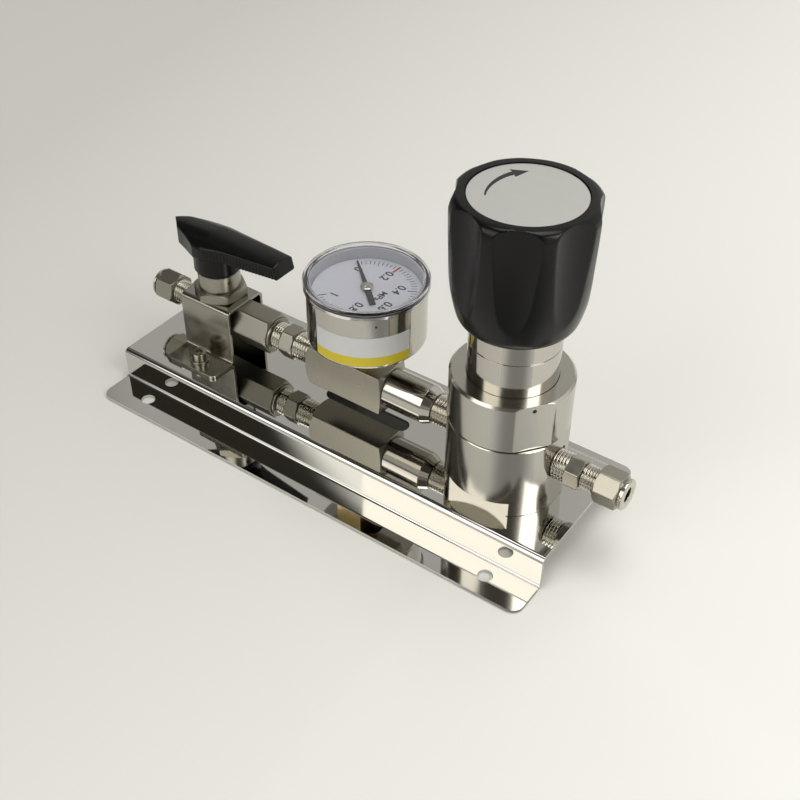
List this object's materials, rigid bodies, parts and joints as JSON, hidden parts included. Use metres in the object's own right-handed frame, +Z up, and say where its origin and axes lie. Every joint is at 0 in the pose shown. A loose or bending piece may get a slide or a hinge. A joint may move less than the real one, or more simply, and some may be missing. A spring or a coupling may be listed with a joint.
{
  "type": "pressure reducing valve panel",
  "caption": "Folded steel panel carrying a quarter-turn shut-off valve, a gauge block with its dial gauge and a hand-set pressure regulator, with tube fittings at both ends.",
  "frame": {"origin": "centre of the four mounting holes, on the underside of the flanges", "axes": "+X along the row of fittings from inlet to outlet, +Z up out of the panel, +Y to the back"},
  "size_m": [0.2536, 0.102, 0.1536],
  "materials": {
    "polished_steel": "mirror polished stainless steel",
    "satin_steel": "satin stainless steel, machined",
    "brass": "plain machined brass",
    "black_plastic": "glossy black moulded plastic",
    "black_steel": "blackened steel",
    "seal_plastic": "white fluoropolymer",
    "black_paint": "matt black paint",
    "white_paint": "white painted dial",
    "clear_plastic": "clear moulded plastic",
    "brushed_aluminium": "brushed aluminium"
  },
  "bodies": {
    "panel": {"panel": "polished_steel", "valve_bracket": "satin_steel", "bracket_screws": "satin_steel", "bracket_washers": "satin_steel", "bracket_nuts": "satin_steel", "valve_body": "satin_steel", "valve_end": "satin_steel", "valve_seats": "seal_plastic", "stem_packing": "seal_plastic", "packing_cap": "satin_steel", "lock_nut": "satin_steel", "inlet_nut": "satin_steel", "inlet_ferrules": "satin_steel", "hex_nipple": "satin_steel", "gauge_block": "satin_steel", "gauge_socket": "brass", "bourdon_tube": "brass", "movement_frame": "brass", "gauge_dial": "white_paint", "gauge_case": "polished_steel", "gauge_cover": "clear_plastic", "coupling": "polished_steel", "regulator_nipple": "satin_steel", "regulator_body": "polished_steel", "regulator_screws": "satin_steel", "poppet_seat": "seal_plastic", "seat_retainer": "satin_steel", "poppet_spring": "polished_steel", "diaphragm": "polished_steel", "bonnet": "polished_steel", "cap_ring": "polished_steel", "range_spring": "polished_steel", "outlet_connector": "satin_steel", "outlet_nut": "satin_steel", "outlet_ferrules": "satin_steel"},
    "valve_key": {"valve_handle": "black_plastic", "handle_screw": "black_steel", "valve_stem": "polished_steel", "valve_ball": "polished_steel"},
    "pointer": {"gauge_pointer": "black_paint"},
    "sector": {"sector_gear": "brass"},
    "link": {"gauge_link": "brass"},
    "plate": {"diaphragm_plate": "polished_steel"},
    "poppet": {"poppet": "polished_steel"},
    "button": {"spring_button": "polished_steel"},
    "knob": {"control_knob": "black_plastic", "knob_disc": "brushed_aluminium", "knob_screw": "satin_steel", "adjusting_screw": "satin_steel"}
  },
  "joints": [
    {"name": "valve_turn", "type": "hinge", "parent": "panel", "child": "valve_key", "pos_m": [-0.08, 0, 0.0368], "axis": [0, 0, 1], "range_deg": [-90, 0]},
    {"name": "screw_travel", "type": "slide", "parent": "panel", "child": "button", "axis": [0, 0, 1], "range_m": [-0.0075, 0], "deforming": ["range_spring"]},
    {"name": "knob_turn", "type": "hinge", "parent": "button", "child": "knob", "pos_m": [0.0775, 0, 0.1], "axis": [0, 0, 1], "range_deg": [-1800, 0]},
    {"name": "pointer_turn", "type": "hinge", "parent": "panel", "child": "pointer", "pos_m": [0.00565, 0, 0.08], "axis": [0, 0, 1], "range_deg": [-270, 0]},
    {"name": "sector_turn", "type": "hinge", "parent": "panel", "child": "sector", "pos_m": [0.01414, 0.00849, 0.075], "axis": [0, 0, 1], "range_deg": [0, 54]},
    {"name": "link_slide", "type": "slide", "parent": "panel", "child": "link", "axis": [-0.7071, 0.7071, 0], "range_m": [0, 0.00272], "stiffness_N_per_m": 20},
    {"name": "plate_lift", "type": "slide", "parent": "panel", "child": "plate", "axis": [0, 0, 1], "range_m": [-0.0005, 0], "stiffness_N_per_m": 2000, "deforming": ["diaphragm"]},
    {"name": "poppet_lift", "type": "slide", "parent": "panel", "child": "poppet", "axis": [0, 0, 1], "range_m": [-0.0005, 0], "deforming": ["poppet_spring"]}
  ],
  "couplings": [
    {"joint": "screw_travel", "follows": "knob_turn", "m_per_rad": 0.00023873},
    {"joint": "pointer_turn", "follows": "link_slide", "rad_per_m": -1730},
    {"joint": "sector_turn", "follows": "link_slide", "rad_per_m": 345.99},
    {"joint": "poppet_lift", "follows": "plate_lift", "ratio": 1}
  ]
}
